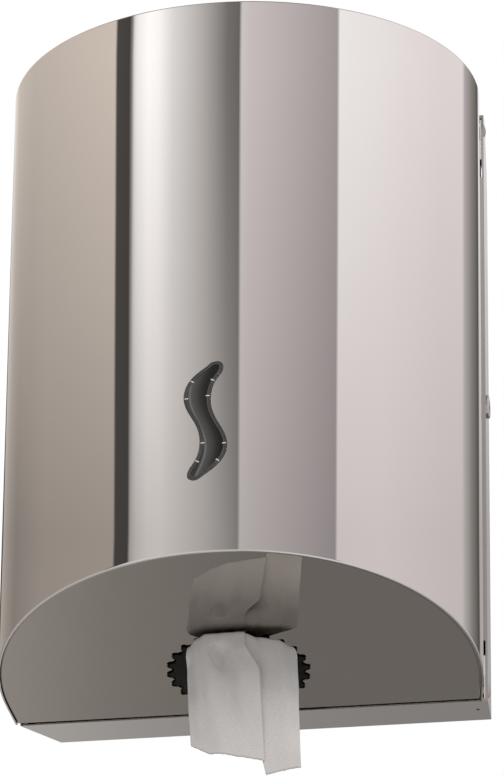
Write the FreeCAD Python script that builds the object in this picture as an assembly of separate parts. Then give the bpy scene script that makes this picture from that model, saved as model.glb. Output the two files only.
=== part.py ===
import FreeCAD, Part
import math
import os

# Wall-hung centre-pull paper towel dispenser, polished stainless steel.
# Millimetres. The back of the tray is the wall plane Y = 0, the front faces -Y, +Z is up.
# The origin is the centre of the four wall holes.

# Body
overall_depth = 170.0
cover_radius = 119.5
flank_turn = 7.0            # degrees that the round front runs past the half circle
bottom_z = -175.0
rear_top_z = 179.0
top_slope = math.tan(math.radians(10.6))   # the top falls towards the front
sheet = 1.0
fit_gap = 0.02              # between welded sheets
plate_recess = 0.5          # the end plates sit this far inside the cover's edges
plate_flange = 12.0
seam_lip_z = 140.0          # the long lips stop short of the corners

# Wall tray
tray_depth = 18.0
rim_gap = 0.8               # between the tray and the cover
tray_right_x = 119.0
tray_left_front_x = -114.2
lip_width = 7.0
wall_hole_x = 60.0
wall_hole_z = 130.0
wall_hole_radius = 2.75
drain_radius = 0.8
relief_height = 42.0        # of the right flange's cut-back upper corner

# Level window
window_x = -3.5
window_z = -100.0
window_rim_width = 1.9
window_flange_width = 3.0
clip_radius = 1.5

# Nozzle
nozzle_y = -58.5
nozzle_teeth = 24
nozzle_radius = 35.6
nozzle_tooth_depth = 3.3
nozzle_drop = 0.8           # how far the ring stands below the body
nozzle_bore = 26.2
spigot_radius = 29.2
spigot_top_z = -166.2
lug_reach = 31.0
seat_bore = 29.7
seat_radius = 36.5
seat_top_z = -170.8
plate_hole_radius = 31.6

# Roll and paper
roll_y = -92.5
roll_radius = 68.0
roll_height = 215.0
core_radius = 29.0
roll_base_z = -163.0
roll_tray_radius = 72.0
roll_tray_opening = 33.0
paper_left_x = -23.0
paper_width = 55.0
paper_end_z = -237.0

# Hinges and rivets
knuckle_radius = 2.3
knuckle_count = 5
knuckle_gap = 0.2
pin_radius = 1.5
leaf_thickness = 0.8
hinge_height = 50.0
hinge_centres_z = {"lower": -110.0, "upper": 110.0}
rivet_radius = 1.6
rivet_fit = 0.02
hinge_rivet_along = 10.6    # from the tray's left front corner, along the bevel
hinge_rivet_offset_z = 15.0
guide_rivet_y = -14.3
guide_rivet_inset = 7.5     # from the tray's ends

# Lock
lock_y = -9.2
lock_z = 4.0
lock_thread_radius = 5.0
lock_bezel_radius = 6.0
lock_length = 15.0          # behind the flange
plug_radius = 3.2
cam_reach = 20.0
cam_thickness = 1.5
tang_half = 2.0

arc_centre_y = -overall_depth + cover_radius
cover_rear_y = -(tray_depth + rim_gap)
end_plate_z = bottom_z + plate_recess
plate_inside_z = end_plate_z + sheet + fit_gap
skin_behind = sheet + fit_gap       # from a sheet's outer face to what is welded inside it
below_all = bottom_z - 60.0
above_all = rear_top_z + 60.0

up = FreeCAD.Vector(0, 0, 1)
right = FreeCAD.Vector(1, 0, 0)
back = FreeCAD.Vector(0, 1, 0)


def vec(x, y, z=0.0):
    return FreeCAD.Vector(x, y, z)


def box(low, high):
    size = [b - a for a, b in zip(low, high)]
    return Part.makeBox(size[0], size[1], size[2], vec(low[0], low[1], low[2]))


def rod(radius, start, end):
    axis = end - start
    return Part.makeCylinder(radius, axis.Length, start, axis)


def tube(outer, inner, start, end):
    return rod(outer, start, end).cut(rod(inner, start, end))


def upright(radius, x, y, low_z, high_z):
    return rod(radius, vec(x, y, low_z), vec(x, y, high_z))


def prism(points, direction):
    """A flat outline of corner points, pushed along a direction."""
    corners = list(points) + [points[0]]
    return Part.Face(Part.makePolygon(corners)).extrude(direction)


def plan_prism(points, low_z, high_z):
    return prism([vec(x, y, low_z) for x, y in points], up * (high_z - low_z))


def closed_curve(points):
    curve = Part.BSplineCurve()
    curve.interpolate(Points=points, PeriodicFlag=True)
    return curve


def export(name, shape):
    shape = shape.removeSplitter()
    shape.exportStep("parts/" + name + ".step")


# ---- the D-shaped plan of the cover ----

def flank_start(radius):
    """Where the round front runs out into the straight right flank."""
    turn = math.radians(90.0 + flank_turn)
    return radius * math.sin(turn), arc_centre_y - radius * math.cos(turn)


def flank_end(inset, rear_y):
    """The X at which the right flank, taken in by inset, meets the plane rear_y."""
    turn = math.radians(90.0 + flank_turn)
    start_x, start_y = flank_start(cover_radius - inset)
    run = (rear_y - start_y) / math.sin(turn)
    return start_x + run * math.cos(turn)


def cover_plan(inset, rear_y, low_z, high_z):
    """The cover's plan, taken in by inset and closed at rear_y, as a solid between two heights."""
    radius = cover_radius - inset
    arc_x, arc_y = flank_start(radius)
    rear_x = flank_end(inset, rear_y)
    front = vec(0, arc_centre_y - radius, low_z)
    arc = Part.Arc(vec(-arc_x, arc_y, low_z), front, vec(arc_x, arc_y, low_z)).toShape()
    sides = Part.makePolygon([
        vec(arc_x, arc_y, low_z), vec(rear_x, rear_y, low_z),
        vec(-rear_x, rear_y, low_z), vec(-arc_x, arc_y, low_z)])
    outline = Part.Wire([arc] + sides.Edges)
    return Part.Face(outline).extrude(up * (high_z - low_z))


def top_at(y):
    return rear_top_z + top_slope * (y - cover_rear_y)


def under_top(drop):
    """Everything below the sloping top, less a drop."""
    side_x = cover_radius + 50.0
    front_y = -overall_depth - 10.0
    rear_y = 10.0
    outline = [
        vec(-side_x, front_y, below_all), vec(-side_x, rear_y, below_all),
        vec(-side_x, rear_y, top_at(rear_y) - drop), vec(-side_x, front_y, top_at(front_y) - drop)]
    return prism(outline, right * (2.0 * side_x))


# ---- level window outline ----

def window_outline(offset, y):
    """The S-shaped window, which is the same upside down; offset is positive outwards."""
    right_side = [
        (5.2, 34.0), (8.1, 32.6), (8.4, 29.4), (5.0, 23.0), (2.8, 15.8), (2.9, 8.2),
        (5.6, 0.2), (9.3, -7.1), (10.9, -14.4), (9.3, -21.3), (4.8, -27.2), (-0.8, -31.8)]
    points = [vec(window_x + x, y, window_z + z) for x, z in right_side]
    points += [vec(window_x - x, y, window_z - z) for x, z in right_side]
    curve = closed_curve(points)
    samples = 96
    span = curve.LastParameter - curve.FirstParameter
    moved = []
    for i in range(samples):
        at = curve.FirstParameter + span * i / samples
        tangent = curve.tangent(at)[0]
        outward = vec(-tangent.z, 0.0, tangent.x)
        moved.append(curve.value(at) + outward * offset)
    return Part.Wire([closed_curve(moved).toShape()])


def window_prism(offset):
    """The window's outline pushed through the front of the cover, from before it to behind it."""
    start_y = -overall_depth - 20.0
    return Part.Face(window_outline(offset, start_y)).extrude(back * 60.0)


def front_skin(outer_step, inner_step):
    """A curved layer of the round front at the window, between two steps out from its face."""
    half_height = 50.0
    start = vec(0, arc_centre_y, window_z - half_height)
    end = vec(0, arc_centre_y, window_z + half_height)
    layer = tube(cover_radius + outer_step, cover_radius + inner_step, start, end)
    front_only = box((-60.0, -overall_depth - 5.0, window_z - 60.0), (60.0, -130.0, window_z + 60.0))
    return layer.common(front_only)


# ---- cover ----

def cover_wrap():
    body = cover_plan(0.0, cover_rear_y, bottom_z, above_all)
    body = body.cut(cover_plan(sheet, cover_rear_y + 5.0, below_all, above_all + 1.0))
    body = body.common(under_top(0.0))
    lip_inner_x = 109.0
    lip_outer_x = flank_end(sheet, cover_rear_y) + 0.3
    lip = box((lip_inner_x, cover_rear_y - sheet, -seam_lip_z), (lip_outer_x, cover_rear_y, seam_lip_z))
    return body.fuse(lip).cut(window_prism(0.0))


def cover_bottom_plate():
    flange_top = end_plate_z + plate_flange
    plate = cover_plan(skin_behind, cover_rear_y, end_plate_z, flange_top)
    hollow = cover_plan(skin_behind + sheet, cover_rear_y - sheet, end_plate_z + sheet, flange_top + 1.0)
    hole = upright(plate_hole_radius, 0, nozzle_y, end_plate_z - 1.0, end_plate_z + 3.0)
    return plate.cut(hollow).cut(hole)


def cover_top_plate():
    start_z = 100.0
    shell = cover_plan(skin_behind, cover_rear_y, start_z, above_all).common(under_top(plate_recess))
    shell = shell.cut(under_top(plate_recess + plate_flange))
    hollow = cover_plan(skin_behind + sheet, cover_rear_y - sheet, start_z - 10.0, above_all + 1.0)
    return shell.cut(hollow.common(under_top(plate_recess + sheet)))


# ---- wall tray ----

def bevel_wall_x():
    return tray_left_front_x + tray_depth


def tray_plan(inset, front_y):
    """Tray plan corners; the left side is bevelled at 45 degrees to clear the hinges."""
    slide = inset * math.sqrt(2.0)
    rear_y = -inset
    left_rear = bevel_wall_x() + slide + rear_y
    left_front = bevel_wall_x() + slide + front_y
    return [(left_rear, rear_y), (tray_right_x - inset, rear_y),
            (tray_right_x - inset, front_y), (left_front, front_y)]


def tray_lips():
    """The turned-in front edges, notched where the edge guides pass."""
    lip_back_y = -tray_depth + sheet
    inner_right = tray_right_x - sheet / 2.0
    left_end = tray_left_front_x + 8.0
    top = box((left_end, -tray_depth, rear_top_z - sheet - lip_width),
              (inner_right, lip_back_y, rear_top_z - sheet / 2.0))
    bottom = box((left_end, -tray_depth, bottom_z + sheet / 2.0),
                 (inner_right, lip_back_y, bottom_z + sheet + lip_width))
    side = box((tray_right_x - sheet - lip_width, -tray_depth, -seam_lip_z),
               (inner_right, lip_back_y, seam_lip_z))
    notch_inner_x = tray_right_x - 6.5
    notch_outer_x = tray_right_x - 1.01
    for notch_low_z in (bottom_z + 1.5, rear_top_z - 25.5):
        notch = box((notch_inner_x, -tray_depth - 1.0, notch_low_z),
                    (notch_outer_x, lip_back_y + 1.0, notch_low_z + 24.0))
        top = top.cut(notch)
        bottom = bottom.cut(notch)
    return [top, bottom, side]


def corner_relief():
    """The right flange's upper corner, cut back to the wall in a long curve."""
    notch_x = tray_right_x - 3.0
    over_z = rear_top_z + 1.0
    foot_z = rear_top_z - relief_height
    start = vec(notch_x, -13.0, over_z)
    middle = vec(notch_x, -4.6, rear_top_z - 16.0)
    end = vec(notch_x, 0.0, foot_z)
    curve = Part.Arc(start, middle, end).toShape()
    behind = Part.makePolygon([end, vec(notch_x, 1.0, foot_z), vec(notch_x, 1.0, over_z), start])
    outline = Part.Wire([curve] + behind.Edges)
    return Part.Face(outline).extrude(right * 10.0)


def wall_tray():
    outer = plan_prism(tray_plan(0.0, -tray_depth), bottom_z, rear_top_z)
    inner = plan_prism(tray_plan(sheet, -tray_depth - 2.0), bottom_z + sheet, rear_top_z - sheet)
    body = outer.cut(inner)
    for lip in tray_lips():
        body = body.fuse(lip)
    body = body.cut(corner_relief())
    for x in (-wall_hole_x, wall_hole_x):
        for z in (-wall_hole_z, wall_hole_z):
            body = body.cut(rod(wall_hole_radius, vec(x, -3.0, z), vec(x, 2.0, z)))
    lock_hole = rod(lock_thread_radius + 0.05, on_lock_axis(tray_right_x - 3.0),
                    on_lock_axis(tray_right_x + 2.0))
    drain = upright(drain_radius, 113.3, -10.2, bottom_z - 1.0, bottom_z + 3.0)
    body = body.cut(lock_hole).cut(drain)
    return cut_rivet_holes(body, guide_rivet_lines() + hinge_rivet_lines())


# ---- hinges, on a vertical axis behind the cover's left edge ----

def along_flank(inward, forward):
    """A plan point measured from the cover's left rear edge, inwards and forwards."""
    turn = math.radians(flank_turn)
    x = -flank_end(0.0, cover_rear_y) + inward * math.cos(turn) - forward * math.sin(turn)
    y = cover_rear_y - inward * math.sin(turn) - forward * math.cos(turn)
    return x, y


def hinge_axis():
    """The knuckle centre, behind the cover's edge and tangent to the leaf that lines the flank."""
    return along_flank(skin_behind + leaf_thickness - knuckle_radius, -4.0)


def along_bevel(outward, towards_wall):
    """A plan point measured from the tray's left front corner, off the bevel and along it."""
    half = math.sqrt(0.5)
    x = tray_left_front_x + (towards_wall - outward) * half
    y = -tray_depth + (towards_wall + outward) * half
    return x, y


def knuckle_on_bevel():
    """The hinge axis, measured off the bevel and along it."""
    x, y = hinge_axis()
    half = math.sqrt(0.5)
    step_x = x - tray_left_front_x
    step_y = y + tray_depth
    return (step_y - step_x) * half, (step_x + step_y) * half


def knuckle_spans(mid_z, first):
    """Heights of every second knuckle, starting with the first or the second."""
    pitch = hinge_height / knuckle_count
    low = mid_z - hinge_height / 2.0
    return [(low + pitch * i + knuckle_gap, low + pitch * (i + 1) - knuckle_gap)
            for i in range(first, knuckle_count, 2)]


def knuckles(mid_z, first, bore, strip):
    """Knuckle tubes with the strip of leaf that carries each of them."""
    x, y = hinge_axis()
    pieces = []
    for low, high in knuckle_spans(mid_z, first):
        piece = upright(knuckle_radius, x, y, low, high).fuse(plan_prism(strip, low, high))
        pieces.append(piece.cut(upright(bore, x, y, low - 1.0, high + 1.0)))
    return pieces


def hinge_cover_leaf(mid_z):
    """Leaf that lines the cover's left flank, with two knuckles."""
    inner = skin_behind
    outer = inner + leaf_thickness
    rear = -1.2
    front = 14.0
    plate = [along_flank(inner, rear), along_flank(outer, rear),
             along_flank(outer, front), along_flank(inner, front)]
    leaf = plan_prism(plate, mid_z - hinge_height / 2.0, mid_z + hinge_height / 2.0)
    strip = [along_flank(inner, -4.0), along_flank(outer, -4.0),
             along_flank(outer, -1.0), along_flank(inner, -1.0)]
    running_bore = pin_radius + 0.05
    for piece in knuckles(mid_z, 1, running_bore, strip):
        leaf = leaf.fuse(piece)
    return leaf


def hinge_tray_leaf(mid_z):
    """Leaf that stands off the bevel at its knuckles and cranks down on to it."""
    off, along = knuckle_on_bevel()
    low = off - knuckle_radius
    high = low + leaf_thickness
    face = fit_gap
    crank = along + 2.7
    crank_end = crank + low - face
    bend = 0.35
    plate = [
        along_bevel(low, crank), along_bevel(face, crank_end),
        along_bevel(face, 16.0), along_bevel(face + leaf_thickness, 16.0),
        along_bevel(face + leaf_thickness, crank_end + bend), along_bevel(high, crank + bend)]
    leaf = plan_prism(plate, mid_z - hinge_height / 2.0, mid_z + hinge_height / 2.0)
    strip = [along_bevel(low, along), along_bevel(high, along), along_bevel(high, crank + bend),
             along_bevel(low, crank)]
    fixed_bore = pin_radius + 0.01
    for piece in knuckles(mid_z, 0, fixed_bore, strip):
        leaf = leaf.fuse(piece)
    return cut_rivet_holes(leaf, hinge_rivet_lines())


def hinge_pin(mid_z):
    x, y = hinge_axis()
    low = mid_z - hinge_height / 2.0 - 1.0
    high = mid_z + hinge_height / 2.0
    head = upright(knuckle_radius, x, y, high + 0.1, high + 1.3)
    return upright(pin_radius, x, y, low, high + 1.2).fuse(head)


# ---- rivets ----

def hinge_rivet_lines():
    """Rivet axes through the tray's bevel, two to each hinge, as inside and outside points."""
    lines = []
    for mid_z in hinge_centres_z.values():
        for z in (mid_z - hinge_rivet_offset_z, mid_z + hinge_rivet_offset_z):
            inside_x, inside_y = along_bevel(-4.0, hinge_rivet_along)
            outside_x, outside_y = along_bevel(3.0, hinge_rivet_along)
            lines.append((vec(inside_x, inside_y, z), vec(outside_x, outside_y, z)))
    return lines


def guide_rivet_lines():
    """Rivet axes through the tray's right flange."""
    lines = []
    for z in (bottom_z + guide_rivet_inset, rear_top_z - guide_rivet_inset):
        lines.append((vec(tray_right_x - 4.0, guide_rivet_y, z), vec(tray_right_x + 2.0, guide_rivet_y, z)))
    return lines


def cut_rivet_holes(body, lines):
    for inside, outside in lines:
        body = body.cut(rod(rivet_radius + rivet_fit, inside, outside))
    return body


def rivet(head_radius, head_height, foot, head_seat):
    """A rivet from its formed foot to the seat of its domed head."""
    axis = head_seat - foot
    direction = FreeCAD.Vector(axis).normalize()
    shank = rod(rivet_radius, foot, head_seat + direction * 0.2)
    foot_disc = rod(rivet_radius * 1.5, foot, foot + direction * 0.9)
    ball_radius = (head_radius ** 2 + head_height ** 2) / (2.0 * head_height)
    ball = Part.makeSphere(ball_radius, head_seat + direction * (head_height - ball_radius))
    cap = ball.common(rod(head_radius + 0.5, head_seat, head_seat + direction * (head_height + 1.0)))
    return shank.fuse([foot_disc, cap])


def hinge_rivets():
    solids = []
    for inside, _ in hinge_rivet_lines():
        foot_x, foot_y = along_bevel(-sheet - 0.95, hinge_rivet_along)
        seat_x, seat_y = along_bevel(fit_gap + leaf_thickness + 0.01, hinge_rivet_along)
        solids.append(rivet(2.8, 1.0, vec(foot_x, foot_y, inside.z), vec(seat_x, seat_y, inside.z)))
    return Part.makeCompound(solids)


def guide_rivets():
    solids = []
    foot_x = tray_right_x - 2.0 * sheet - fit_gap - 0.95
    for inside, _ in guide_rivet_lines():
        foot = vec(foot_x, guide_rivet_y, inside.z)
        solids.append(rivet(3.3, 0.9, foot, vec(tray_right_x + 0.01, guide_rivet_y, inside.z)))
    return Part.makeCompound(solids)


# ---- edge guides, which steer the cover's right flank home ----

def guide_heights():
    """For each guide: its end by the corner, where its tongue starts, and its other end."""
    return {"lower": (bottom_z + 2.0, bottom_z + 15.0, bottom_z + 27.0),
            "upper": (rear_top_z - 2.0, rear_top_z - 15.0, rear_top_z - 27.0)}


def edge_guide(heights):
    corner_end, tongue_start, inner_end = heights
    outer_x = tray_right_x - skin_behind
    inner_x = outer_x - sheet
    base = box((inner_x, -16.8, min(corner_end, inner_end)), (outer_x, -3.0, max(corner_end, inner_end)))
    tongue = plan_prism(
        [(inner_x, -15.5), (outer_x, -15.5), (114.6, -19.6), (113.4, -31.0), (112.4, -30.9), (113.6, -19.2)],
        min(tongue_start, inner_end), max(tongue_start, inner_end))
    return cut_rivet_holes(base.fuse(tongue), guide_rivet_lines())


# ---- lock on the right flange and its keeper ----

def on_lock_axis(x):
    return vec(x, lock_y, lock_z)


def lock_body():
    """Threaded barrel with a chamfered bezel, bored for the plug."""
    inner_end = tray_right_x - lock_length
    face = tray_right_x + 1.2
    barrel = rod(lock_thread_radius, on_lock_axis(inner_end), on_lock_axis(tray_right_x + 0.3))
    bezel = rod(lock_bezel_radius, on_lock_axis(tray_right_x + 0.01), on_lock_axis(face))
    face_edges = [edge for edge in bezel.Edges if edge.BoundBox.XMin > face - 0.1]
    bezel = bezel.makeChamfer(0.5, face_edges)
    bore = rod(plug_radius + 0.05, on_lock_axis(inner_end - 1.0), on_lock_axis(face + 1.0))
    return barrel.fuse(bezel).cut(bore)


def lock_nut():
    corner_radius = 6.9
    far = tray_right_x - skin_behind
    near = far - 3.0
    corners = []
    for i in range(6):
        angle = math.radians(60.0 * i)
        step_y = corner_radius * math.cos(angle)
        step_z = corner_radius * math.sin(angle)
        corners.append(vec(near, lock_y + step_y, lock_z + step_z))
    nut = prism(corners, right * (far - near))
    return nut.cut(rod(lock_thread_radius + 0.02, on_lock_axis(near - 1.0), on_lock_axis(far + 1.0)))


def square_rod(half, start_x, end_x):
    """A square bar on the lock's axis."""
    return box((start_x, lock_y - half, lock_z - half), (end_x, lock_y + half, lock_z + half))


def lock_plug():
    """Plug with a keyway in its face and a square tang for the cam."""
    rear = tray_right_x - lock_length - 0.1
    plug = rod(plug_radius, on_lock_axis(rear), on_lock_axis(tray_right_x + 1.1))
    tang = square_rod(tang_half, rear - 2.0, rear + 0.1)
    keyway = box((tray_right_x - 8.0, lock_y - 2.4, lock_z - 0.6),
                 (tray_right_x + 2.0, lock_y + 2.4, lock_z + 0.6))
    thread = rod(1.25, on_lock_axis(rear - 3.0), on_lock_axis(tray_right_x - 11.0))
    return plug.fuse(tang).cut(keyway).cut(thread)


def lock_cam():
    """Unlocked it points forwards; a quarter turn brings it up in front of the keeper."""
    far = tray_right_x - lock_length - 0.15
    near = far - cam_thickness
    tip_y = lock_y - cam_reach
    arm_half = 3.2
    disc = rod(4.2, on_lock_axis(near), on_lock_axis(far))
    arm = box((near, tip_y, lock_z - arm_half), (far, lock_y, lock_z + arm_half))
    tip = rod(arm_half, vec(near, tip_y, lock_z), vec(far, tip_y, lock_z))
    hole = square_rod(tang_half + 0.02, near - 1.0, far + 1.0)
    return disc.fuse([arm, tip]).cut(hole)


def lock_cam_screw():
    seat = tray_right_x - lock_length - 2.12
    head = rod(3.1, on_lock_axis(seat - 1.8), on_lock_axis(seat))
    shank = rod(1.23, on_lock_axis(seat - 0.2), on_lock_axis(tray_right_x - 12.0))
    slot = box((seat - 2.5, lock_y - 3.5, lock_z - 0.4), (seat - 1.1, lock_y + 3.5, lock_z + 0.4))
    return head.fuse(shank).cut(slot)


def keeper_bracket():
    """Hook on the cover's right lip; the cam stands in front of it when locked."""
    low = lock_z + 8.0
    high = lock_z + 24.0
    foot_y = cover_rear_y - skin_behind
    arm_x = 107.7
    hook_x = 97.0
    hook_y = -3.8
    foot = box((arm_x, foot_y - sheet, low), (114.2, foot_y, high))
    arm = box((arm_x, foot_y - sheet, low), (arm_x + sheet, hook_y, high))
    hook = box((hook_x, hook_y - sheet, low), (arm_x + sheet, hook_y, high))
    return foot.fuse([arm, hook])


# ---- level window ----

def window_bezel():
    """Clear rim in the cut-out, with a flange that bears on the back of the sheet."""
    opening = window_prism(-window_rim_width)
    rim = window_prism(-0.15).cut(opening).common(front_skin(0.5, -sheet - 0.05))
    flange = window_prism(window_flange_width).cut(opening).common(front_skin(-sheet - 0.03, -sheet - 1.2))
    return rim.fuse(flange)


def window_lens():
    return window_prism(-window_rim_width - 0.03).common(front_skin(0.15, -sheet - 1.2))


def window_clip(x, z):
    """A small button behind the bezel's flange."""
    depth = math.sqrt((cover_radius - sheet - 1.25) ** 2 - x ** 2)
    y = arc_centre_y - depth + 0.25
    return rod(clip_radius, vec(x, y, z), vec(x, y + 1.4, z))


def window_clips():
    """Eight clips; half of them, and the rest are their opposites through the window's centre."""
    solids = []
    for x, z in [(9.8, 29.3), (5.5, 20.1), (4.3, 9.0), (7.9, -1.1)]:
        for side in (1, -1):
            solids.append(window_clip(window_x + side * x, window_z + side * z))
    return Part.makeCompound(solids)


# ---- nozzle ----

def tooth_outline(z):
    """Rounded teeth round the grip ring, a little narrower than the gaps between them."""
    points = []
    root = nozzle_radius - nozzle_tooth_depth
    steps = nozzle_teeth * 8
    for i in range(steps):
        angle = 2.0 * math.pi * i / steps
        height = 0.5 + 0.5 * math.cos(nozzle_teeth * angle)
        reach = root + nozzle_tooth_depth * height ** 1.35
        points.append(vec(reach * math.cos(angle), nozzle_y + reach * math.sin(angle), z))
    return Part.Wire([closed_curve(points).toShape()])


def sector(angle, width, inner, outer, low_z, high_z):
    """A block of ring, width degrees wide, centred on an angle round the nozzle."""
    reach = outer * 1.6
    wedge = [(0.0, nozzle_y)]
    for side in (-0.5, 0.5):
        turn = math.radians(angle + side * width)
        wedge.append((reach * math.cos(turn), nozzle_y + reach * math.sin(turn)))
    ring = tube(outer, inner, vec(0, nozzle_y, low_z), vec(0, nozzle_y, high_z))
    return ring.common(plan_prism(wedge, low_z, high_z))


def nozzle_ring():
    """Toothed grip ring with a spigot and three bayonet lugs."""
    low = bottom_z - nozzle_drop
    ring = Part.Face(tooth_outline(low)).extrude(up * (nozzle_drop + 0.2))
    ring = ring.fuse(upright(spigot_radius, 0, nozzle_y, low, spigot_top_z))
    for angle in (0.0, 120.0, 240.0):
        ring = ring.fuse(sector(angle, 16.0, spigot_radius - 1.2, lug_reach, -170.3, -168.3))
    return ring.cut(upright(nozzle_bore, 0, nozzle_y, low - 1.0, spigot_top_z + 6.0))


def nozzle_seat():
    """Bayonet ring on the bottom plate; its notches are a short turn away from the lugs."""
    seat = tube(seat_radius, seat_bore, vec(0, nozzle_y, plate_inside_z), vec(0, nozzle_y, seat_top_z))
    low = plate_inside_z - 1.0
    high = seat_top_z + 1.0
    for angle in (30.0, 150.0, 270.0):
        seat = seat.cut(sector(angle, 20.0, seat_bore - 0.7, lug_reach + 0.4, low, high))
    return seat


def nozzle_insert():
    """Tapered insert with slit fingers that hold the paper back a little."""
    foot = nozzle_bore - fit_gap
    low = bottom_z - nozzle_drop + 0.3
    shoulder = low + 2.1
    top = -165.6
    outline = [vec(foot, 0, low), vec(foot, 0, shoulder), vec(21.2, 0, top),
               vec(20.0, 0, top), vec(24.8, 0, shoulder), vec(24.8, 0, low)]
    face = Part.Face(Part.makePolygon(outline + [outline[0]]))
    cone = face.revolve(vec(0, 0, 0), up, 360)
    slits = 5
    for i in range(slits):
        slit = box((-40.0, -0.6, -172.5), (40.0, 0.6, top + 5.0))
        slit.rotate(vec(0, 0, 0), up, 180.0 * i / slits)
        cone = cone.cut(slit)
    cone.translate(vec(0, nozzle_y, 0))
    return cone


# ---- roll and paper ----

def roll_tray():
    """Plate that carries the roll clear of the nozzle, on four feet."""
    plate_low = roll_base_z - 2.0
    rim_top = roll_base_z + 8.0
    plate = upright(roll_tray_radius, 0, roll_y, plate_low, roll_base_z - fit_gap)
    rim = upright(roll_tray_radius, 0, roll_y, plate_low + 1.5, rim_top)
    rim = rim.cut(upright(roll_tray_radius - 2.0, 0, roll_y, plate_low, rim_top + 1.0))
    tray = plate.fuse(rim)
    for x in (-46.0, 46.0):
        for y in (-50.0, -135.0):
            tray = tray.fuse(upright(5.0, x, y, plate_inside_z, plate_low + 0.5))
    low = plate_low - 1.0
    high = roll_base_z + 1.0
    opening = upright(roll_tray_opening, 0, nozzle_y, low, high)
    opening = opening.fuse(upright(roll_tray_opening, 0, roll_y, low, high))
    opening = opening.fuse(box((-roll_tray_opening, roll_y, low), (roll_tray_opening, nozzle_y, high)))
    return tray.cut(opening)


def paper_roll():
    top = roll_base_z + roll_height
    return tube(roll_radius, core_radius, vec(0, roll_y, roll_base_z), vec(0, roll_y, top))


def paper_tail():
    """The free end of the web: a neck up into the roll's core and a sheet that hangs below."""
    neck = box((-11.5, -73.0, -177.9), (11.5, -68.0, -118.0))
    side = [(-68.0, -176.3), (-92.5, -176.3), (-96.8, -179.4), (-97.2, -184.0),
            (-67.5, paper_end_z), (-63.5, paper_end_z), (-84.0, -193.0)]
    hang = prism([vec(paper_left_x, y, z) for y, z in side], right * paper_width)
    return neck.fuse(hang)


def main():
    os.makedirs("parts", exist_ok=True)
    export("wall_tray", wall_tray())
    export("cover_wrap", cover_wrap())
    export("cover_bottom_plate", cover_bottom_plate())
    export("cover_top_plate", cover_top_plate())
    export("window_bezel", window_bezel())
    export("window_lens", window_lens())
    export("window_clips", window_clips())
    for place, mid_z in hinge_centres_z.items():
        export("hinge_tray_leaf_" + place, hinge_tray_leaf(mid_z))
        export("hinge_cover_leaf_" + place, hinge_cover_leaf(mid_z))
        export("hinge_pin_" + place, hinge_pin(mid_z))
    export("hinge_rivets", hinge_rivets())
    for place, heights in guide_heights().items():
        export("edge_guide_" + place, edge_guide(heights))
    export("guide_rivets", guide_rivets())
    export("lock_body", lock_body())
    export("lock_nut", lock_nut())
    export("lock_plug", lock_plug())
    export("lock_cam", lock_cam())
    export("lock_cam_screw", lock_cam_screw())
    export("keeper_bracket", keeper_bracket())
    export("nozzle_seat", nozzle_seat())
    export("nozzle_ring", nozzle_ring())
    export("nozzle_insert", nozzle_insert())
    export("roll_tray", roll_tray())
    export("paper_roll", paper_roll())
    export("paper_tail", paper_tail())


main()
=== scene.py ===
import math

import bmesh
import bpy
from mathutils import Matrix, Vector
from mathutils import noise as spaceNoise


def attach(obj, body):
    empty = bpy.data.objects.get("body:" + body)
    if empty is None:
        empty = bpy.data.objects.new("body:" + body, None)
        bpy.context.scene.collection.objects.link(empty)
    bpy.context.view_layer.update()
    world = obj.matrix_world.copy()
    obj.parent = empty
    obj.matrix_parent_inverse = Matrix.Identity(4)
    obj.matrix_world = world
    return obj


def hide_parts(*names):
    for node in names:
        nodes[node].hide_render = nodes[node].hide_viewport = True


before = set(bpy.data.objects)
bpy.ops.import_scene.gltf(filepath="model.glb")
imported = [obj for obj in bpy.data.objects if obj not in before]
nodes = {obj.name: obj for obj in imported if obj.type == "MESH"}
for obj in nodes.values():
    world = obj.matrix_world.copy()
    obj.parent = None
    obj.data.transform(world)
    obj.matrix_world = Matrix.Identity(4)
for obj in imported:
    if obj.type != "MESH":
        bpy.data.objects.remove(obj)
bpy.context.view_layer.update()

print("frame loaded:", len(nodes), "pieces")


# node helpers

def startMaterial(name):
    material = bpy.data.materials.new(name)
    material.use_nodes = True
    tree = material.node_tree
    tree.nodes.clear()
    output = tree.nodes.new("ShaderNodeOutputMaterial")
    shader = tree.nodes.new("ShaderNodeBsdfPrincipled")
    tree.links.new(shader.outputs["BSDF"], output.inputs["Surface"])
    return material, tree, shader


def addNode(tree, kind, settings=None, values=None):
    node = tree.nodes.new(kind)
    for key, value in (settings or {}).items():
        setattr(node, key, value)
    for key, value in (values or {}).items():
        node.inputs[key].default_value = value
    return node


def link(tree, fromNode, output, toNode, socket):
    tree.links.new(fromNode.outputs[output], toNode.inputs[socket])


def objectSpace(tree, scale=(1.0, 1.0, 1.0), location=(0.0, 0.0, 0.0)):
    place = addNode(tree, "ShaderNodeTexCoord")
    mapping = addNode(tree, "ShaderNodeMapping", None, {"Scale": scale, "Location": location})
    link(tree, place, "Object", mapping, "Vector")
    return mapping


def noise(tree, space, scale, detail=2.0, rough=0.5):
    node = addNode(tree, "ShaderNodeTexNoise", None, {"Scale": scale, "Detail": detail, "Roughness": rough})
    link(tree, space, 0, node, "Vector")
    return node


def spread(tree, source, output, low, high, fromLow=0.0, fromHigh=1.0):
    node = addNode(tree, "ShaderNodeMapRange", None,
                   {"From Min": fromLow, "From Max": fromHigh, "To Min": low, "To Max": high})
    link(tree, source, output, node, "Value")
    return node


def bump(tree, shader, source, output, distance, strength=1.0, before=None):
    node = addNode(tree, "ShaderNodeBump", None, {"Strength": strength, "Distance": distance})
    link(tree, source, output, node, "Height")
    if before:
        link(tree, before, "Normal", node, "Normal")
    link(tree, node, "Normal", shader, "Normal")
    return node


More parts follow.
